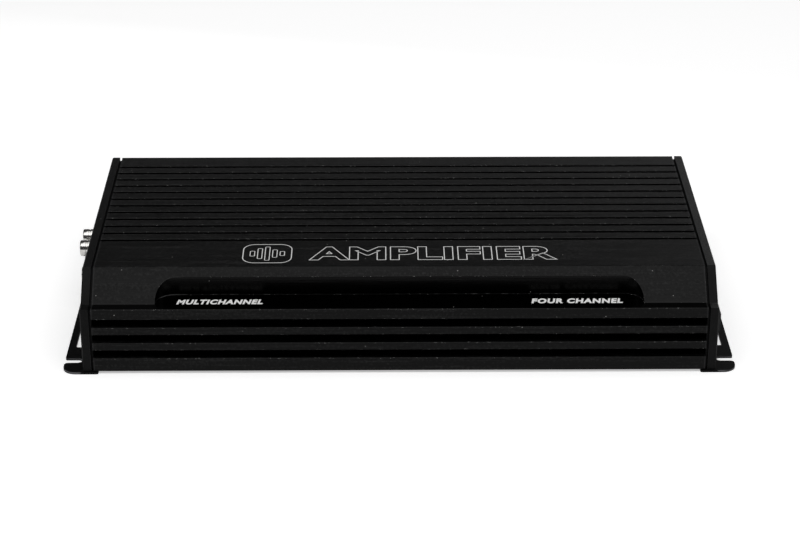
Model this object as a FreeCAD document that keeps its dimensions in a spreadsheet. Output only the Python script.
"""Car amplifier: a finned extrusion closed by a bottom cover, two end plates and two end caps.

Row frame: +X to the right along the body, +Y towards the back, +Z up, in millimetres.
The origin is on the mounting surface, under the middle of the body.
Depths given to deep() are measured backwards from the front face.
"""
import FreeCAD, Part
import os
import re
import Sketcher

V = FreeCAD.Vector

DIMS = {
    # extruded body
    "half_body": 149.6, "half_depth": 81.6, "base": 1.2, "crown": 47.9,
    "ledge": 34.6, "ledge_deep": 6.0, "bevel_deep": 20.8,
    "recess_half": 119.0, "recess_deep": 16.7, "recess_corner": 9.5,
    "band": 7.0, "rib": 4.0, "groove": 4.3, "groove_deep": 8.0,
    "fin_first": 53.1, "fin_pitch": 8.78, "fin_gap": 2.3, "fin_deep": 5.0,
    "wall": 11.0, "shoulder_deep": 20.0, "shoulder": 31.2, "ceiling": 38.2,
    "lip": 9.0, "flange_reach": 18.0, "flange_top": 7.0, "edge": 0.3,
    # bottom cover, end plates, end caps
    "cover_thick": 1.5, "cover_gap": 0.2, "plate_thick": 1.2, "plate_inset": 1.3,
    "cap_out": 155.0, "window_front": 17.0, "window_back": 148.0, "window_low": 6.2,
    "window_high": 38.6, "window_corner": 4.0, "cap_edge": 0.5,
    "foot_in": 147.4, "foot_out": 165.1, "foot_proud": 0.8, "foot_corner": 6.5,
    "foot_inner_corner": 1.0, "slot_deep": 11.9, "slot_radius": 2.4, "slot_end": 158.9,
    "mouth_outer": 2.0, "mouth_inner": 1.0,
    "gap_front": 26.5, "gap_in": 154.8, "gap_out": 161.4, "gap_corner": 1.0,
    # clearances: a close fit, a snug fit and a loose one
    "fit": 0.05, "snug": 0.1, "loose": 0.5, "hole_play": 0.2,
    # screws
    "thread": 1.45, "tapped": 1.5, "passing": 1.8, "head": 2.9, "head_bore": 3.2,
    "head_tall": 2.1, "head_sunk": 2.3, "key": 1.3, "key_deep": 1.2, "end_screw_long": 10.0,
    "port_deep": 6.5, "port_low": 5.4, "port_top_deep": 26.0, "port_high": 43.0,
    "cover_screw_deep": 13.5, "cover_screw_step": 65.0, "cover_screw_tip": 7.6,
    "board_head": 1.8, "board_key": 0.9,
    # boards and their posts
    "board_low": 9.2, "board_thick": 1.6, "board_half": 147.6, "board_front": 12.0,
    "board_back": 151.0, "upper_low": 22.1, "upper_left": 148.1, "upper_right": 100.0,
    "upper_front": 20.5, "upper_back": 146.0, "notch_play": 0.8,
    "post": 2.6, "post_left": 95.0, "post_right": 128.0, "post_front": 24.0,
    "post_back": 139.0, "upper_post_left": 134.0, "upper_post_right": 104.0,
    "upper_post_rear": 127.0, "upper_post_back": 142.0,
    # left end: phono jacks
    "jack_front": 76.0, "jack_pitch": 14.0, "jack_low": 18.2, "jack_rise": 15.0,
    "jack_face": 153.0, "jack_tip": 163.0, "jack_radius": 4.2, "jack_bore": 3.5,
    "jack_base": 5.2, "jack_flange": 1.0, "jack_margin": 7.2, "jack_top": 37.8,
    "jack_inside": 137.0, "jack_hole_low": 10.6, "insert_radius": 3.45,
    "insert_bore": 2.1, "insert_sunk": 1.2, "contact_radius": 2.05, "contact_bore": 1.65,
    "contact_sunk": 1.5, "contact_floor": 1.0,
    # left end: controls
    "knob_row": 28.5, "knob_radius": 3.0, "knob_tip": 154.6, "knob_back": 149.5,
    "knob_hole": 3.4, "shaft": 1.5, "shaft_bore": 1.55, "shaft_end": 144.3,
    "pot_half": 4.8, "pot_face": 148.8, "pot_back": 141.8, "driver_slot": 0.9,
    "flute": 0.35, "flute_long": 4.2, "knob_edge": 0.3, "slot_sunk": 1.1,
    "front_knob": 27.0, "rear_knob": 108.0, "knob_pitch": 14.0,
    "switch_row": 14.0, "switch_half": 6.0, "switch_tall": 3.2, "lever_half": 1.5,
    "lever_tall": 1.2, "lever_tip": 153.4, "lever_root": 146.8, "lever_travel": 2.0,
    "lever_play": 0.3, "front_switch": 34.0, "rear_switch": 108.0, "input_switch": 122.0,
    "grip_deep": 0.4, "grip_step": 0.8, "grip_half": 0.2,
    "socket_deep": 137.0, "socket_half": 6.6, "socket_top": 21.6, "socket_back": 134.0,
    "socket_face": 151.2, "socket_mouth": 4.9, "socket_wall": 1.6, "socket_cavity": 138.0,
    "latch_tall": 1.2, "latch_short": 4.0,
    "lamp_front": 52.0, "lamp_pitch": 7.0, "lamp_radius": 1.5, "lamp_tip": 152.0,
    "lamp_root": 144.8, "lamp_taper": 0.6,
    # right end: speaker and power terminals, fuses
    "front_wall": 0.7, "well_play": 0.35, "cage_wall": 1.0, "driver_deep": 0.9,
    "speaker_front": 22.0, "speaker_pitch": 7.62, "speaker_wall": 0.8, "speaker_low": 10.8,
    "speaker_high": 20.6, "speaker_out": 159.4, "speaker_in": 144.0, "speaker_wire": 14.6,
    "speaker_bore": 1.9, "speaker_screw": 156.9, "speaker_thread": 1.25,
    "speaker_tapped": 1.3, "speaker_driver": 0.6, "speaker_cage": 152.6, "cage_half": 2.9,
    "cage_low": 12.0, "cage_high": 18.2, "speaker_tip": 16.7, "speaker_head": 20.2,
    "power_front": 97.0, "power_back": 139.0, "power_high": 24.0, "power_out": 162.0,
    "power_in": 138.0, "power_wire": 16.4, "power_bore": 4.0, "signal_bore": 2.0,
    "power_first": 105.5, "power_pitch": 12.5, "power_cage": 146.0, "power_cage_half": 5.3,
    "power_cage_low": 11.6, "power_cage_high": 22.4, "power_screw": 157.9,
    "power_thread": 2.5, "power_tapped": 2.55, "power_driver": 1.0,
    "power_tip": 20.6, "power_head": 23.7,
    "fuse_first": 109.5, "fuse_pitch": 21.0, "fuse_row": 31.6, "fuse_half": 9.5,
    "fuse_thick": 2.6, "fuse_out": 158.3, "fuse_body": 148.5, "blade_in": 142.0,
    "blade_half": 2.6, "blade_thick": 0.35, "blade_off": 6.0, "holder_in": 140.0,
    "holder_half": 10.3, "holder_tall": 4.4, "holder_proud": 2.0,
    "waist_in": 2.6, "waist_out": 1.4, "waist_half": 4.1, "waist_deep": 0.4,
    # power stage
    "transistor_step": 20.0, "transistor_half": 5.0, "transistor_thick": 4.5,
    "transistor_low": 14.0, "transistor_high": 29.5, "pad_thick": 0.4, "pad_half": 6.0,
    "bar_half": 62.0, "bar_thick": 3.0, "bar_low": 19.0, "bar_high": 27.0,
    "bar_screw": 22.8, "bar_screw_step": 40.0, "bar_screw_into": 6.0,
    "leg_half": 0.4, "leg_step": 2.54, "leg_in": 2.0, "leg_thick": 0.6,
    "ring_x": 70.0, "ring_deep": 78.0, "ring_out": 18.0, "ring_in": 10.0, "ring_tall": 16.0,
    "wire_thick": 1.6, "winding_gap": 1.6, "choke_x": -80.0, "choke_first": 46.0,
    "choke_step": 24.0, "choke_out": 8.0, "choke_in": 4.2, "choke_tall": 8.0,
    "input_can_x": 106.0, "input_can": 8.0, "input_can_tall": 24.0, "input_can_first": 55.0,
    "input_can_step": 23.0, "rail_can_x": 30.0, "rail_can": 6.3, "rail_can_tall": 20.0,
    "rail_can_first": 52.0, "rail_can_step": 17.0, "can_edge": 0.8,
}

UPRIGHT = FreeCAD.Rotation()
TO_RIGHT = FreeCAD.Rotation(V(0, 1, 0), 90)
TO_LEFT = FreeCAD.Rotation(V(0, 1, 0), -90)
TO_FRONT = FreeCAD.Rotation(V(1, 0, 0), 90)
TO_BACK = FreeCAD.Rotation(V(1, 0, 0), -90)
OVERCUT = 1.0
FINS = 12
FRONT_GROOVES = 3
REAR_GROOVES = 4
FLUTES = 18
TRANSISTORS = 6

doc = FreeCAD.newDocument("amplifier")
sheet = doc.addObject("Spreadsheet::Sheet", "dims")
parts = []


# ---------------------------------------------------------------- shared helpers
def fill_sheet():
    """Write the driving dimensions into the spreadsheet, one alias each."""
    for row, (alias, size) in enumerate(DIMS.items(), start=1):
        sheet.set(f"A{row}", alias)
        sheet.set(f"B{row}", str(size))
        sheet.setAlias(f"B{row}", alias)
    doc.recompute()


def sized(text):
    """The expression with each dimension's alias pointed at the spreadsheet."""
    return re.sub(r"[a-z][a-z_]*", lambda word: "dims." + word.group(0), str(text))


def number(text):
    """The value of an expression of driving dimensions."""
    return float(sheet.evalExpression(sized(text)))


def bind(item, field, text):
    item.setExpression(field, sized(text))


def deep(text):
    """A Y coordinate from a depth behind the front face."""
    return f"({text}) - half_depth"


def from_rear(text):
    """A Y coordinate from a distance in front of the back face."""
    return f"half_depth - ({text})"


def minus(text):
    return f"-({text})"


def around(centre, half):
    """The low and high ends of a span about its centre."""
    return (f"({centre}) - ({half})", f"({centre}) + ({half})")


def place(item, x, y, z, turn=UPRIGHT):
    item.Placement = FreeCAD.Placement(V(), turn)
    for axis, text in (("x", x), ("y", y), ("z", z)):
        bind(item, f"Placement.Base.{axis}", text)


def block(x, y, z):
    """A box between the low and high ends given for each axis."""
    item = doc.addObject("Part::Box", "block")
    for field, span in (("Length", x), ("Width", y), ("Height", z)):
        bind(item, field, f"({span[1]}) - ({span[0]})")
    place(item, x[0], y[0], z[0])
    return item


def rod(x, y, z, radius, length, turn=UPRIGHT):
    """A cylinder that starts at the point and runs the way its turn points."""
    item = doc.addObject("Part::Cylinder", "rod")
    bind(item, "Radius", radius)
    bind(item, "Height", length)
    place(item, x, y, z, turn)
    return item


def taper(x, y, z, start, finish, length, turn=UPRIGHT):
    """A cone whose radius goes from start to finish."""
    item = doc.addObject("Part::Cone", "taper")
    bind(item, "Radius1", start)
    bind(item, "Radius2", finish)
    bind(item, "Height", length)
    place(item, x, y, z, turn)
    return item


def hexagon(x, y, z, radius, length, turn=UPRIGHT):
    """A six-sided key recess."""
    item = doc.addObject("Part::Prism", "hexagon")
    item.Polygon = 6
    bind(item, "Circumradius", radius)
    bind(item, "Height", length)
    place(item, x, y, z, turn)
    return item


def fuse(items):
    item = doc.addObject("Part::MultiFuse", "fusion")
    item.Shapes = items
    return item


def cut(base, tools):
    item = doc.addObject("Part::Cut", "cutting")
    item.Base = base
    item.Tool = tools[0] if len(tools) == 1 else fuse(tools)
    return item


def group(items):
    """Identical separate solids kept in one sub-part."""
    item = doc.addObject("Part::Compound", "group")
    item.Links = items
    return item


def keep(label, item):
    """Name a finished sub-part."""
    item.Label = label
    parts.append(item)
    return item


# ---------------------------------------------------------------- PartDesign helpers
def sketch_on(body, plane, offset, outlines=(), circles=()):
    """A fully bound sketch of closed outlines and circles on one of the body's planes."""
    sketch = body.newObject("Sketcher::SketchObject", "outline")
    base = [item for item in body.Origin.OriginFeatures if item.Role == plane][0]
    sketch.AttachmentSupport = (base, [""])
    sketch.MapMode = "FlatFace"
    bind(sketch, "AttachmentOffset.Base.z", offset)
    for points in outlines:
        draw_outline(sketch, points)
    for across, up, radius in circles:
        draw_circle(sketch, across, up, radius)
    return sketch


def hold(sketch, kind, first, end, text):
    """Measure a point from the sketch's origin and bind the distance."""
    index = sketch.addConstraint(Sketcher.Constraint(kind, -1, 1, first, end, number(text)))
    bind(sketch, f"Constraints[{index}]", text)


def draw_outline(sketch, points):
    corners = [V(number(across), number(up), 0) for across, up in points]
    count = len(corners)
    first = sketch.GeometryCount
    for index in range(count):
        sketch.addGeometry(Part.LineSegment(corners[index], corners[(index + 1) % count]))
    for index in range(count):
        following = first + (index + 1) % count
        sketch.addConstraint(Sketcher.Constraint("Coincident", first + index, 2, following, 1))
    for index, (across, up) in enumerate(points):
        hold(sketch, "DistanceX", first + index, 1, across)
        hold(sketch, "DistanceY", first + index, 1, up)


def draw_circle(sketch, across, up, radius):
    centre = V(number(across), number(up), 0)
    index = sketch.addGeometry(Part.Circle(centre, V(0, 0, 1), number(radius)))
    hold(sketch, "DistanceX", index, 3, across)
    hold(sketch, "DistanceY", index, 3, up)
    bound = sketch.addConstraint(Sketcher.Constraint("Radius", index, number(radius)))
    bind(sketch, f"Constraints[{bound}]", radius)


def pad(body, sketch, length):
    item = body.newObject("PartDesign::Pad", "pad")
    item.Profile = sketch
    bind(item, "Length", length)
    doc.recompute()
    return item


def pocket(body, sketch, length, along_normal=False):
    """Cut against the sketch's normal, or along it, and make sure that something was cut."""
    before = body.Shape.Volume
    item = body.newObject("PartDesign::Pocket", "pocket")
    item.Profile = sketch
    item.Reversed = along_normal
    bind(item, "Length", length)
    doc.recompute()
    if body.Shape.Volume > before - 0.01:
        raise RuntimeError(f"{item.Name} in {body.Name} cut nothing")
    return item


def repeat(body, feature, direction, length, count):
    item = body.newObject("PartDesign::LinearPattern", "pattern")
    item.Originals = [feature]
    item.Direction = (feature.Profile[0], [direction])
    bind(item, "Length", length)
    item.Occurrences = count
    body.Tip = item
    doc.recompute()
    return item


def ease(body, kind, size, wanted):
    """Fillet or chamfer the edges of the body's tip that the test picks out."""
    tip = body.Tip
    names = [f"Edge{i}" for i, edge in enumerate(tip.Shape.Edges, start=1) if wanted(edge)]
    if not names:
        raise RuntimeError(f"no edges found to ease on {body.Label}")
    item = body.newObject(f"PartDesign::{kind}", "eased")
    item.Base = (tip, names)
    bind(item, "Radius" if kind == "Fillet" else "Size", size)
    doc.recompute()
    return item


def near(first, second):
    return abs(first - second) < 0.01


def span_of(edge, axis):
    box = edge.BoundBox
    return {"x": box.XLength, "y": box.YLength, "z": box.ZLength}[axis]


def rectangle(across, up):
    """The four corners of a rectangle from two low and high pairs."""
    return [(across[0], up[0]), (across[1], up[0]), (across[1], up[1]), (across[0], up[1])]


# ---------------------------------------------------------------- extruded body
PORTS = [
    (deep("port_deep"), "port_low"),
    (from_rear("port_deep"), "port_low"),
    (deep("port_top_deep"), "port_high"),
    (from_rear("port_deep"), "port_high"),
]
COVER_SCREW_ROWS = [deep("cover_screw_deep"), from_rear("cover_screw_deep")]
COVER_SCREW_PLACES = [
    (f"{step} * cover_screw_step", row) for step in (-2, -1, 0, 1, 2) for row in COVER_SCREW_ROWS
]


def outer_profile(inset="0"):
    """The front ledge, the bevel, the flat top and the straight back, seen from the right."""
    return [
        (f"-half_depth + {inset}", "base"),
        (f"-half_depth + {inset}", f"ledge - {inset}"),
        (deep(f"ledge_deep + {inset} / 2"), f"ledge - {inset}"),
        (deep(f"bevel_deep + {inset} / 2"), f"crown - {inset}"),
        (f"half_depth - {inset}", f"crown - {inset}"),
        (f"half_depth - {inset}", "base"),
    ]


def heatsink_body():
    """One extrusion: ribbed front and back, grooved top, open below for the boards."""
    body = doc.addObject("PartDesign::Body", "heatsink")
    cavity = [
        (from_rear("lip"), "base"),
        (from_rear("lip"), "base + cover_thick"),
        (from_rear("flange_reach"), "base + cover_thick"),
        (from_rear("flange_reach"), "flange_top"),
        (from_rear("wall"), "flange_top"),
        (from_rear("wall"), "ceiling"),
        (deep("shoulder_deep"), "ceiling"),
        (deep("shoulder_deep"), "shoulder"),
        (deep("wall"), "shoulder"),
        (deep("wall"), "flange_top"),
        (deep("flange_reach"), "flange_top"),
        (deep("flange_reach"), "base + cover_thick"),
        (deep("lip"), "base + cover_thick"),
        (deep("lip"), "base"),
    ]
    pad(body, sketch_on(body, "YZ_Plane", "-half_body", [outer_profile() + cavity]),
        "2 * half_body")

    past_end = f"half_body + {OVERCUT}"
    whole_length = f"2 * half_body + {2 * OVERCUT}"
    low_groove = ("base + band", "base + band + groove")
    for outward, inward, count in (
        (f"-half_depth - {OVERCUT}", deep("groove_deep"), FRONT_GROOVES),
        (f"half_depth + {OVERCUT}", from_rear("groove_deep"), REAR_GROOVES),
    ):
        first = pocket(
            body,
            sketch_on(body, "YZ_Plane", past_end, [rectangle((outward, inward), low_groove)]),
            whole_length,
        )
        repeat(body, first, "V_Axis", f"{count - 1} * (rib + groove)", count)
    fin = rectangle(around(deep("fin_first"), "fin_gap / 2"),
                    ("crown - fin_deep", f"crown + {OVERCUT}"))
    first = pocket(body, sketch_on(body, "YZ_Plane", past_end, [fin]), whole_length)
    repeat(body, first, "H_Axis", f"{FINS - 1} * fin_pitch", FINS)

    length = number("2 * half_body")
    outer_front = number("-half_depth")
    outer_back = number("half_depth")
    crown = number("crown")
    ledge = number("ledge")

    def outer_long_edge(edge):
        middle = edge.CenterOfMass
        on_skin = (near(middle.y, outer_front) or near(middle.y, outer_back)
                   or near(middle.z, crown) or (near(middle.z, ledge) and middle.y < 0))
        inner_corner = near(middle.z, ledge) and near(middle.y, number(deep("ledge_deep")))
        return on_skin and not inner_corner and near(span_of(edge, "x"), length)

    ease(body, "Chamfer", "edge", outer_long_edge)

    port_circles = [(across, up, "tapped") for across, up in PORTS]
    pocket(body, sketch_on(body, "YZ_Plane", past_end, circles=port_circles), whole_length)

    recess = rectangle(around("0", "recess_half"), (f"-half_depth - {OVERCUT}",
                                                    deep("recess_deep")))
    pocket(body, sketch_on(body, "XY_Plane", f"crown + {OVERCUT}", [recess]),
           f"crown - ledge + {OVERCUT}")
    rear_wall = number(deep("recess_deep"))
    ease(body, "Fillet", "recess_corner",
         lambda edge: near(edge.CenterOfMass.y, rear_wall) and span_of(edge, "z") > 5
         and span_of(edge, "x") < 0.01 and span_of(edge, "y") < 0.01)

    holes = [(across, row, "tapped") for across, row in COVER_SCREW_PLACES]
    pocket(body, sketch_on(body, "XY_Plane", "flange_top", circles=holes),
           f"flange_top - base - cover_thick + {OVERCUT}")
    clamp_holes = [(f"{step} * bar_screw_step", "bar_screw", "tapped") for step in (-1, 0, 1)]
    for wall_face in (deep("wall"), from_rear("wall - bar_screw_into")):
        sketch = sketch_on(body, "XZ_Plane", minus(wall_face), circles=clamp_holes)
        pocket(body, sketch, "bar_screw_into", along_normal=True)
    keep("heatsink_body", body)


def bottom_cover():
    """The flat cover that slides up into the rebate, with countersunk screw holes."""
    body = doc.addObject("PartDesign::Body", "cover")
    depth = around("0", "half_depth - lip - cover_gap")
    pad(body, sketch_on(body, "XY_Plane", "base", [rectangle(around("0", "half_body"), depth)]),
        "cover_thick")
    holes = [(across, row, "passing") for across, row in COVER_SCREW_PLACES]
    pocket(body, sketch_on(body, "XY_Plane", f"base + cover_thick + {OVERCUT}", circles=holes),
           f"cover_thick + {2 * OVERCUT}")
    seat = number("base")
    radius = number("passing")
    ease(body, "Chamfer", "head - passing",
         lambda edge: near(edge.CenterOfMass.z, seat) and edge.Curve.TypeId == "Part::GeomCircle"
         and near(edge.Curve.Radius, radius))
    keep("bottom_cover", body)


def cover_screws():
    screws = []
    for across, row in COVER_SCREW_PLACES:
        head = taper(across, row, "base + fit", "head - snug", "thread",
                     "head - thread - snug - fit")
        shank = rod(across, row, "base + fit", "thread", "cover_screw_tip - base")
        drive = hexagon(across, row, "base - snug", "key", "key_deep")
        screws.append(cut(fuse([head, shank]), [drive]))
    keep("bottom_cover_screws", group(screws))


# ---------------------------------------------------------------- ends
def outward(side, text):
    """An X coordinate measured from the middle towards the given side."""
    return text if side > 0 else minus(text)


def x_span(side, near_middle, far_out):
    """Low and high X of a span between two distances from the middle."""
    return (near_middle, far_out) if side > 0 else (minus(far_out), minus(near_middle))


LEFT_KNOBS = [
    ("front_level_knob", "front_knob"),
    ("front_high_pass_knob", "front_knob + knob_pitch"),
    ("front_low_pass_knob", "front_knob + 2 * knob_pitch"),
    ("rear_level_knob", "rear_knob"),
    ("rear_low_pass_knob", "rear_knob + knob_pitch"),
    ("bass_boost_knob", "rear_knob + 2 * knob_pitch"),
]
LEFT_SWITCHES = [
    ("front_filter_switch", "front_switch"),
    ("rear_filter_switch", "rear_switch"),
    ("input_mode_switch", "input_switch"),
]
LAMPS = [("power_lamp", "lamp_front"), ("protect_lamp", "lamp_front + lamp_pitch")]
JACKS = [
    (deep(f"jack_front + {column} * jack_pitch"), f"jack_low + {row} * jack_rise")
    for column in (0, 1) for row in (0, 1)
]
SPEAKER_WAYS = [
    deep(f"speaker_front + speaker_wall + speaker_pitch * {way + 0.5}") for way in range(8)
]
SPEAKER_BACK = "speaker_front + 2 * speaker_wall + 8 * speaker_pitch"
POWER_WAYS = [
    ("battery", deep("power_first"), "power_bore"),
    ("remote_turn_on", deep("power_first + power_pitch"), "signal_bore"),
    ("ground", deep("power_first + 2 * power_pitch"), "power_bore"),
]
FUSES = [deep("fuse_first"), deep("fuse_first + fuse_pitch")]


def left_openings():
    """Cut-outs of the left plate: jack block, switch slots, socket, knobs and lamps."""
    outlines = [
        rectangle(around(deep("jack_front + jack_pitch / 2"),
                         "jack_pitch / 2 + jack_margin + hole_play"),
                  ("jack_hole_low", "jack_top + hole_play")),
        rectangle(around(deep("socket_deep"), "socket_half + hole_play"),
                  ("board_low + board_thick - hole_play", "socket_top + hole_play")),
    ]
    for _, along in LEFT_SWITCHES:
        outlines.append(rectangle(around(deep(along), "lever_half + lever_travel + loose"),
                                  around("switch_row", "lever_tall + loose")))
    circles = [(deep(along), "knob_row", "knob_hole") for _, along in LEFT_KNOBS]
    circles += [(deep(along), "switch_row", "lamp_radius + snug") for _, along in LAMPS]
    return outlines, circles


def right_openings():
    """Cut-outs of the right plate: speaker block, power block and fuse holders."""
    outlines = [
        rectangle((deep("speaker_front - hole_play"), deep(SPEAKER_BACK + " + hole_play")),
                  ("speaker_low - hole_play", "speaker_high + hole_play")),
        rectangle((deep("power_front - hole_play"), deep("power_back + hole_play")),
                  ("speaker_low - hole_play", "power_high + hole_play")),
    ]
    for centre in FUSES:
        outlines.append(rectangle(around(centre, "holder_half + snug"),
                                  around("fuse_row", "holder_tall + snug")))
    return outlines, []


def end_plate(label, side, openings):
    """A steel plate whose lower edge is folded out into the mounting foot."""
    body = doc.addObject("PartDesign::Body", label)
    plate_start = "half_body" if side > 0 else minus("half_body + plate_thick")
    upright = outer_profile("plate_inset")
    upright[0] = (upright[0][0], "0")
    upright[-1] = (upright[-1][0], "0")
    pad(body, sketch_on(body, "YZ_Plane", plate_start, [upright]), "plate_thick")
    foot = rectangle(x_span(side, "foot_in", "foot_out"),
                     around("0", "half_depth + foot_proud"))
    pad(body, sketch_on(body, "XY_Plane", "0", [foot]), "plate_thick")

    above_foot = f"plate_thick + {OVERCUT / 2}"
    through_foot = f"plate_thick + {OVERCUT}"
    for sign in (-1, 1):
        centre = f"{sign} * (half_depth - slot_deep)"
        mouth = rectangle(x_span(side, "slot_end", f"foot_out + {OVERCUT}"),
                          around(centre, "slot_radius"))
        pocket(body, sketch_on(body, "XY_Plane", above_foot, [mouth]), through_foot)
        pocket(body, sketch_on(body, "XY_Plane", above_foot,
                               circles=[(outward(side, "slot_end"), centre, "slot_radius")]),
               through_foot)
    lightening = rectangle(x_span(side, "gap_in", "gap_out"),
                           around("0", "half_depth - gap_front"))
    pocket(body, sketch_on(body, "XY_Plane", above_foot, [lightening]), through_foot)

    outlines, circles = openings()
    circles = circles + [(across, up, "passing") for across, up in PORTS]
    past_plate = (f"half_body + plate_thick + {OVERCUT}" if side > 0
                  else f"-half_body + {OVERCUT}")
    sketch = sketch_on(body, "YZ_Plane", past_plate, outlines, circles)
    pocket(body, sketch, f"plate_thick + {2 * OVERCUT}")

    foot_edge = number("half_depth + foot_proud")
    foot_out = number("foot_out")
    foot_in = number("foot_in")
    gap_edge = number("half_depth - gap_front")

    def upright_foot_edge(edge):
        return near(span_of(edge, "z"), number("plate_thick")) and edge.BoundBox.ZMin < 0.01

    def foot_corner(edge, reach):
        middle = edge.CenterOfMass
        return (upright_foot_edge(edge) and near(abs(middle.y), foot_edge)
                and near(abs(middle.x), reach))

    def mouth_corner(edge, across_slot):
        middle = edge.CenterOfMass
        return (upright_foot_edge(edge) and near(abs(middle.x), foot_out)
                and near(abs(middle.y), number(f"half_depth - slot_deep + {across_slot}")))

    ease(body, "Fillet", "mouth_outer", lambda edge: mouth_corner(edge, "slot_radius"))
    ease(body, "Fillet", "mouth_inner", lambda edge: mouth_corner(edge, "-slot_radius"))
    ease(body, "Fillet", "foot_corner", lambda edge: foot_corner(edge, foot_out))
    ease(body, "Fillet", "foot_inner_corner", lambda edge: foot_corner(edge, foot_in))
    ease(body, "Fillet", "gap_corner",
         lambda edge: upright_foot_edge(edge) and near(abs(edge.CenterOfMass.y), gap_edge))
    keep(label, body)


def end_cap(label, side):
    """A thick frame that follows the body's profile, open in the middle."""
    body = doc.addObject("PartDesign::Body", label)
    start = "half_body + plate_thick" if side > 0 else minus("cap_out")
    thick = "cap_out - half_body - plate_thick"
    pad(body, sketch_on(body, "YZ_Plane", start, [outer_profile()]), thick)
    past_cap = f"cap_out + {OVERCUT}" if side > 0 else f"-half_body - plate_thick + {OVERCUT}"
    window = rectangle((deep("window_front"), deep("window_back")),
                       ("window_low", "window_high"))
    pocket(body, sketch_on(body, "YZ_Plane", past_cap, [window]), f"{thick} + {2 * OVERCUT}")
    window_ends = (number(deep("window_front")), number(deep("window_back")))
    depth = number(thick)
    ease(body, "Fillet", "window_corner",
         lambda edge: near(span_of(edge, "x"), depth)
         and any(near(edge.CenterOfMass.y, place) for place in window_ends))
    circles = [(across, up, "passing") for across, up in PORTS]
    pocket(body, sketch_on(body, "YZ_Plane", past_cap, circles=circles),
           f"{thick} + {2 * OVERCUT}")
    bores = [(across, up, "head_bore") for across, up in PORTS]
    if side > 0:
        pocket(body, sketch_on(body, "YZ_Plane", "cap_out", circles=bores), "head_sunk")
    else:
        pocket(body, sketch_on(body, "YZ_Plane", "-cap_out", circles=bores), "head_sunk",
               along_normal=True)
    face = side * number("cap_out")
    ease(body, "Chamfer", "cap_edge",
         lambda edge: near(edge.CenterOfMass.x, face) and span_of(edge, "x") < 0.01
         and not (edge.Curve.TypeId == "Part::GeomCircle"
                  and near(edge.Curve.Radius, number("head_bore"))))
    keep(label, body)


def end_cap_screws(label, side):
    """Button-head screws through the cap and the plate into the body's ports."""
    turn = TO_LEFT if side > 0 else TO_RIGHT
    screws = []
    for across, up in PORTS:
        seat = outward(side, "cap_out - head_sunk + head_tall")
        head = rod(seat, across, up, "head", "head_tall", turn)
        shank = rod(seat, across, up, "thread",
                    "cap_out - head_sunk + head_tall - half_body + end_screw_long", turn)
        recess = hexagon(outward(side, "cap_out"), across, up, "key",
                         "head_sunk - head_tall + key_deep", turn)
        screws.append(cut(fuse([head, shank]), [recess]))
    keep(label, group(screws))


# ---------------------------------------------------------------- left end: jacks and controls
def phono_jacks():
    face = minus("jack_face")
    housing = block((face, minus("jack_inside")),
                    around(deep("jack_front + jack_pitch / 2"), "jack_pitch / 2 + jack_margin"),
                    ("board_low + board_thick", "jack_top"))
    keep("phono_jack_housing", housing)
    shells, inserts, contacts = [], [], []
    length = "jack_tip - jack_face"
    for across, up in JACKS:
        base = rod(face, across, up, "jack_base", "jack_flange", TO_LEFT)
        barrel = rod(face, across, up, "jack_radius", length, TO_LEFT)
        bore = rod(face, across, up, "jack_bore", f"{length} + {OVERCUT}", TO_LEFT)
        shells.append(cut(fuse([base, barrel]), [bore]))
        plug = rod(face, across, up, "insert_radius", f"{length} - insert_sunk", TO_LEFT)
        hollow = rod(face, across, up, "insert_bore", length, TO_LEFT)
        inserts.append(cut(plug, [hollow]))
        tube = rod(face, across, up, "contact_radius", f"{length} - contact_sunk", TO_LEFT)
        eye = rod(minus("jack_face + contact_floor"), across, up, "contact_bore", length, TO_LEFT)
        contacts.append(cut(tube, [eye]))
    keep("phono_jack_shells", group(shells))
    keep("phono_jack_inserts", group(inserts))
    keep("phono_jack_contacts", group(contacts))


def knob(label, along):
    """A fluted knob with a screwdriver slot, turned in one piece with its shaft."""
    body = doc.addObject("PartDesign::Body", label)
    pad(body, sketch_on(body, "YZ_Plane", "-knob_tip", circles=[("0", "0", "knob_radius")]),
        "knob_tip - knob_back")
    pad(body, sketch_on(body, "YZ_Plane", f"-knob_back - {OVERCUT}",
                        circles=[("0", "0", "shaft")]),
        f"knob_back + {OVERCUT} - shaft_end")
    face = -number("knob_tip")
    ease(body, "Chamfer", "knob_edge",
         lambda edge: near(edge.CenterOfMass.x, face) and edge.Curve.TypeId == "Part::GeomCircle")
    flute = pocket(body, sketch_on(body, "YZ_Plane", "-knob_tip",
                                   circles=[("0", "knob_radius + flute / 3", "flute")]),
                   "flute_long", along_normal=True)
    turns = body.newObject("PartDesign::PolarPattern", "pattern")
    turns.Originals = [flute]
    turns.Axis = ([item for item in body.Origin.OriginFeatures if item.Role == "X_Axis"][0], [""])
    turns.Angle = 360
    turns.Occurrences = FLUTES
    body.Tip = turns
    doc.recompute()
    slot = rectangle(around("0", "driver_slot / 2"), around("0", f"knob_radius + {OVERCUT}"))
    pocket(body, sketch_on(body, "YZ_Plane", "-knob_tip", [slot]), "slot_sunk",
           along_normal=True)
    place(body, "0", deep(along), "knob_row")
    keep(label, body)


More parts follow.
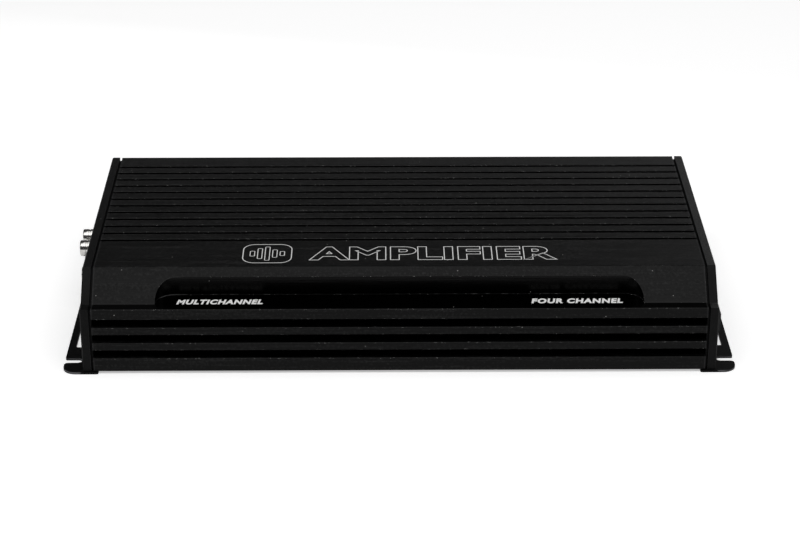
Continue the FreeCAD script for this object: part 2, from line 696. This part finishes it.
def controls():
    pots = []
    for label, along in LEFT_KNOBS:
        knob(label, along)
        case = block((minus("pot_face"), minus("pot_back")), around(deep(along), "pot_half"),
                     ("upper_low + board_thick", "upper_low + board_thick + 2 * pot_half"))
        bore = rod(minus("shaft_end - loose"), deep(along), "knob_row", "shaft_bore",
                   f"pot_face - shaft_end + loose + {OVERCUT}", TO_LEFT)
        pots.append(cut(case, [bore]))
    keep("potentiometer_bodies", group(pots))

    cases = []
    for label, along in LEFT_SWITCHES:
        centre = deep(along)
        case = block((minus("pot_face"), minus("pot_back")), around(centre, "switch_half"),
                     around("switch_row", "switch_tall"))
        track = block((minus(f"pot_face + {OVERCUT}"), minus("lever_root - lever_play")),
                      around(centre, "lever_half + lever_travel + lever_play"),
                      around("switch_row", "lever_tall + lever_play"))
        cases.append(cut(case, [track]))
        stem = block((minus("lever_tip"), minus("lever_root")), around(centre, "lever_half"),
                     around("switch_row", "lever_tall"))
        grips = [
            block((minus(f"lever_tip + {OVERCUT}"), minus("lever_tip - grip_deep")),
                  around(f"{centre} + {step} * grip_step", "grip_half"),
                  around("switch_row", f"lever_tall + {OVERCUT}"))
            for step in (-1, 0, 1)
        ]
        keep(label, cut(stem, grips))
    keep("switch_bodies", group(cases))


def remote_socket():
    """A modular socket, open to the left."""
    centre = deep("socket_deep")
    low = "board_low + board_thick"
    shell = block((minus("socket_face"), minus("socket_back")), around(centre, "socket_half"),
                  (low, "socket_top"))
    mouth = block((minus(f"socket_face + {OVERCUT}"), minus("socket_cavity")),
                  around(centre, "socket_mouth"),
                  (f"{low} + socket_wall + latch_tall", "socket_top - socket_wall"))
    latch = block((minus(f"socket_face + {OVERCUT}"), minus("socket_cavity + latch_short")),
                  around(centre, "socket_mouth / 2"),
                  (f"{low} + socket_wall", f"{low} + socket_wall + latch_tall + snug"))
    keep("remote_level_socket", cut(shell, [mouth, latch]))


def lamps():
    for label, along in LAMPS:
        stem = rod(minus("lamp_root"), deep(along), "switch_row", "lamp_radius",
                   "lamp_tip - lamp_taper - lamp_root", TO_LEFT)
        tip = taper(minus("lamp_tip - lamp_taper"), deep(along), "switch_row", "lamp_radius",
                    "lamp_radius - lamp_taper", "lamp_taper", TO_LEFT)
        legs = block((minus("lamp_root + leg_thick"), minus("lamp_root")),
                     around(deep(along), "leg_step / 2"),
                     ("board_low + board_thick", "switch_row"))
        keep(label, fuse([stem, tip, legs]))


# ---------------------------------------------------------------- right end: terminals and fuses
def set_screw(x, y, low, high, radius, slot):
    """A headless clamp screw with a driver slot."""
    shank = rod(x, y, low, radius, f"({high}) - ({low})")
    groove = block(around(x, f"{radius} + {OVERCUT}"), around(y, f"{slot} / 2"),
                   (f"({high}) - driver_deep", f"({high}) + {OVERCUT}"))
    return cut(shank, [groove])


def speaker_terminals():
    housing = block(("speaker_in", "speaker_out"), (deep("speaker_front"), deep(SPEAKER_BACK)),
                    ("speaker_low", "speaker_high"))
    hollows, cages = [], []
    for way, y in enumerate(SPEAKER_WAYS, start=1):
        hollows.append(block(("speaker_cage - snug", "speaker_out - front_wall"),
                             around(y, "cage_half + snug"),
                             ("cage_low - snug", "cage_high + snug")))
        hollows.append(rod("speaker_cage", y, "speaker_wire", "speaker_bore",
                           f"speaker_out - speaker_cage + {OVERCUT}", TO_RIGHT))
        hollows.append(rod("speaker_screw", y, "cage_high", "speaker_tapped + well_play",
                           f"speaker_high - cage_high + {OVERCUT}"))
        cage = block(("speaker_cage", "speaker_out - front_wall - snug"), around(y, "cage_half"),
                     ("cage_low", "cage_high"))
        wire = rod("speaker_cage + cage_wall", y, "speaker_wire", "speaker_bore",
                   "speaker_out - speaker_cage", TO_RIGHT)
        tapped = rod("speaker_screw", y, "speaker_wire", "speaker_tapped",
                     f"cage_high - speaker_wire + {OVERCUT}")
        cages.append(cut(cage, [wire, tapped]))
        keep(f"speaker_screw_{way}", set_screw("speaker_screw", y, "speaker_tip",
                                               "speaker_head", "speaker_thread",
                                               "speaker_driver"))
    keep("speaker_terminal_block", cut(housing, hollows))
    keep("speaker_terminal_cages", group(cages))


def power_terminals():
    housing = block(("power_in", "power_out"), (deep("power_front"), deep("power_back")),
                    ("speaker_low", "power_high"))
    hollows, cages = [], []
    for name, y, bore in POWER_WAYS:
        hollows.append(block(("power_cage - snug", "power_out - front_wall"),
                             around(y, "power_cage_half + snug"),
                             ("power_cage_low - snug", "power_cage_high + snug")))
        hollows.append(rod("power_cage", y, "power_wire", bore,
                           f"power_out - power_cage + {OVERCUT}", TO_RIGHT))
        hollows.append(rod("power_screw", y, "power_cage_high", "power_tapped + well_play",
                           f"power_high - power_cage_high + {OVERCUT}"))
        cage = block(("power_cage", "power_out - front_wall - snug"),
                     around(y, "power_cage_half"), ("power_cage_low", "power_cage_high"))
        wire = rod("power_cage + cage_wall", y, "power_wire", bore,
                   "power_out - power_cage", TO_RIGHT)
        tapped = rod("power_screw", y, "power_wire", "power_tapped",
                     f"power_cage_high - power_wire + {OVERCUT}")
        cages.append(cut(cage, [wire, tapped]))
        keep(f"{name}_screw", set_screw("power_screw", y, "power_tip", "power_head",
                                        "power_thread", "power_driver"))
    keep("power_terminal_block", cut(housing, hollows))
    keep("power_terminal_cages", group(cages))


def fuses():
    holders, links = [], []
    rim = "half_body + plate_thick + holder_proud"
    for centre in FUSES:
        holder = block(("holder_in", rim), around(centre, "holder_half"),
                       around("fuse_row", "holder_tall"))
        nest = block(("fuse_body", f"{rim} + {OVERCUT}"), around(centre, "fuse_half + snug"),
                     around("fuse_row", "fuse_thick + snug"))
        body = block(("fuse_body", "fuse_out"), around(centre, "fuse_half"),
                     around("fuse_row", "fuse_thick"))
        slots, blades = [], []
        for sign in (-1, 1):
            middle = f"{centre} + {sign} * blade_off"
            slots.append(block(("blade_in - loose", f"fuse_body + {OVERCUT}"),
                               around(middle, "blade_half + snug"),
                               around("fuse_row", "blade_thick + fit")))
            blades.append(block(("blade_in", f"fuse_body + {OVERCUT}"),
                                around(middle, "blade_half"), around("fuse_row", "blade_thick")))
        waist = [
            block(("fuse_body + waist_in", "fuse_out - waist_out"), around(centre, "waist_half"),
                  around(f"fuse_row + {sign} * fuse_thick", "waist_deep"))
            for sign in (-1, 1)
        ]
        holders.append(cut(holder, slots + [nest]))
        links.append(fuse([cut(body, waist)] + blades))
    keep("fuse_holders", group(holders))
    keep("blade_fuses", group(links))


# ---------------------------------------------------------------- boards
POST_PLACES = [(x, y) for x in ("-post_left", "0", "post_right")
               for y in (deep("post_front"), deep("post_back"))]
UPPER_POSTS = [
    ("-upper_post_left", deep("post_front")), ("-upper_post_right", deep("post_front")),
    ("-upper_post_rear", deep("upper_post_back")), ("-upper_post_right", deep("upper_post_back")),
]


def posts(label, places, low, high):
    sleeves = []
    for x, y in places:
        outer = rod(x, y, low, "post", f"({high}) - ({low})")
        inner = rod(x, y, low, "tapped", f"({high}) - ({low})")
        sleeves.append(cut(outer, [inner]))
    keep(label, group(sleeves))


def boards():
    body = doc.addObject("PartDesign::Body", "main_board")
    area = rectangle(around("0", "board_half"), (deep("board_front"), deep("board_back")))
    holes = [(x, y, "passing") for x, y in POST_PLACES]
    pad(body, sketch_on(body, "XY_Plane", "board_low", [area], holes), "board_thick")
    keep("main_board", body)
    posts("board_standoffs", POST_PLACES, "base + cover_thick", "board_low")
    screws = []
    for x, y in POST_PLACES:
        top = "board_low + board_thick"
        head = rod(x, y, top, "head", "board_head")
        shank = rod(x, y, "base + cover_thick + loose", "thread",
                    "board_low + board_thick - base - cover_thick")
        recess = hexagon(x, y, top + " + board_head - board_key", "key", "key_deep")
        screws.append(cut(fuse([head, shank]), [recess]))
    keep("board_screws", group(screws))

    upper = doc.addObject("PartDesign::Body", "upper_board")
    notch_low = deep("jack_front - jack_margin - notch_play")
    notch_high = deep("jack_front + jack_pitch + jack_margin + notch_play")
    notch_right = "-jack_inside + notch_play"
    area = [
        ("-upper_left", deep("upper_front")), ("-upper_right", deep("upper_front")),
        ("-upper_right", deep("upper_back")), ("-upper_left", deep("upper_back")),
        ("-upper_left", notch_high), (notch_right, notch_high),
        (notch_right, notch_low), ("-upper_left", notch_low),
    ]
    holes = [(x, y, "thread") for x, y in UPPER_POSTS]
    pad(upper, sketch_on(upper, "XY_Plane", "upper_low", [area], holes), "board_thick")
    keep("preamplifier_board", upper)
    posts("preamplifier_board_posts", UPPER_POSTS, "board_low + board_thick", "upper_low")


# ---------------------------------------------------------------- power stage
def coil(x, y, low, inside, outside, tall):
    """A ring core on its side with two half windings; returns the core and the windings."""
    def ring(grow, start, height):
        outer = rod(x, y, start, f"({outside}) + {grow}", height)
        return cut(outer, [rod(x, y, start, f"({inside}) - {grow}", height)])
    core = ring("0", f"({low}) + wire_thick", tall)
    wrap = ring("wire_thick", low, f"({tall}) + 2 * wire_thick")
    gap = block(around(x, f"({outside}) + wire_thick + {OVERCUT}"), around(y, "winding_gap"),
                (f"({low}) - {OVERCUT}", f"({low}) + ({tall}) + 2 * wire_thick + {OVERCUT}"))
    hollow = ring("0", f"({low}) + wire_thick", tall)
    return core, cut(wrap, [gap, hollow])


def magnetics():
    top = "board_low + board_thick"
    core, winding = coil("ring_x", deep("ring_deep"), top, "ring_in", "ring_out", "ring_tall")
    keep("transformer_core", core)
    keep("transformer_windings", winding)
    cores, windings = [], []
    for index in range(4):
        core, winding = coil("choke_x", deep(f"choke_first + {index} * choke_step"), top,
                             "choke_in", "choke_out", "choke_tall")
        cores.append(core)
        windings.append(winding)
    keep("output_choke_cores", group(cores))
    keep("output_choke_windings", group(windings))


def capacitors(label, x, first, step, count, radius, tall):
    cans = []
    for index in range(count):
        y = deep(f"{first} + {index} * {step}")
        low = rod(x, y, "board_low + board_thick", radius, f"{tall} - can_edge")
        crown = taper(x, y, f"board_low + board_thick + {tall} - can_edge", radius,
                      f"{radius} - can_edge", "can_edge")
        cans.append(fuse([low, crown]))
    keep(label, group(cans))


def power_stage():
    """Transistors pressed against the front and rear walls by clamp bars."""
    devices, pads, bars, screws = [], [], [], []
    for sign in (-1, 1):
        def inward(text, way=sign):
            return f"{way} * (half_depth - wall - ({text}))"

        def wall_span(start, finish):
            ends = (inward(start), inward(finish))
            return ends if sign < 0 else (ends[1], ends[0])
        for index in range(TRANSISTORS):
            x = f"{index - (TRANSISTORS - 1) / 2} * transistor_step"
            pads.append(block(around(x, "pad_half"), wall_span("0", "pad_thick"),
                              ("transistor_low - loose", "transistor_high + loose")))
            case = block(around(x, "transistor_half"),
                         wall_span("pad_thick", "pad_thick + transistor_thick"),
                         ("transistor_low", "transistor_high"))
            legs = [
                block(around(f"{x} + {step} * leg_step", "leg_half"),
                      wall_span("pad_thick + leg_in", "pad_thick + leg_in + leg_thick"),
                      ("board_low + board_thick", "transistor_low"))
                for step in (-1, 0, 1)
            ]
            devices.append(fuse([case] + legs))
        bar_face = "pad_thick + transistor_thick"
        bar = block(around("0", "bar_half"), wall_span(bar_face, f"{bar_face} + bar_thick"),
                    ("bar_low", "bar_high"))
        turn = TO_BACK if sign < 0 else TO_FRONT
        holes = [rod(f"{step} * bar_screw_step", inward(bar_face), "bar_screw", "passing",
                     "bar_thick", turn) for step in (-1, 0, 1)]
        bars.append(cut(bar, holes))
        for step in (-1, 0, 1):
            x = f"{step} * bar_screw_step"
            shank = rod(x, inward("-bar_screw_into + loose"), "bar_screw", "thread",
                        f"bar_screw_into + {bar_face} + bar_thick", turn)
            head = rod(x, inward(f"{bar_face} + bar_thick"), "bar_screw", "head",
                       "head_tall", turn)
            recess = hexagon(x, inward(f"{bar_face} + bar_thick + head_tall - key_deep"),
                             "bar_screw", "key", f"key_deep + {OVERCUT}", turn)
            screws.append(cut(fuse([shank, head]), [recess]))
    keep("power_transistors", group(devices))
    keep("thermal_pads", group(pads))
    keep("clamp_bars", group(bars))
    keep("clamp_bar_screws", group(screws))


# ---------------------------------------------------------------- check and write
def check_and_write():
    doc.recompute()
    failed = [f"{item.Name} {item.State}" for item in doc.Objects
              if "Invalid" in item.State or "Error" in item.State]
    if failed:
        raise RuntimeError("failed objects: " + ", ".join(failed))
    for item in parts:
        if item.Shape.isNull() or not item.Shape.isValid() or not item.Shape.Solids:
            raise RuntimeError(f"{item.Label} has no valid shape")
    os.makedirs("parts", exist_ok=True)
    for item in parts:
        item.Shape.exportStep(f"parts/{item.Label}.step")
        print(f"{item.Label}: {len(item.Shape.Solids)} solids, {item.Shape.Volume:.0f} mm3")
    print(f"{len(parts)} sub-parts")


fill_sheet()
heatsink_body()
bottom_cover()
cover_screws()
end_plate("left_end_plate", -1, left_openings)
end_plate("right_end_plate", 1, right_openings)
end_cap("left_end_cap", -1)
end_cap("right_end_cap", 1)
end_cap_screws("left_end_cap_screws", -1)
end_cap_screws("right_end_cap_screws", 1)
phono_jacks()
controls()
remote_socket()
lamps()
speaker_terminals()
power_terminals()
fuses()
boards()
magnetics()
capacitors("input_capacitors", "input_can_x", "input_can_first", "input_can_step", 3,
           "input_can", "input_can_tall")
capacitors("rail_capacitors", "rail_can_x", "rail_can_first", "rail_can_step", 4,
           "rail_can", "rail_can_tall")
power_stage()
check_and_write()
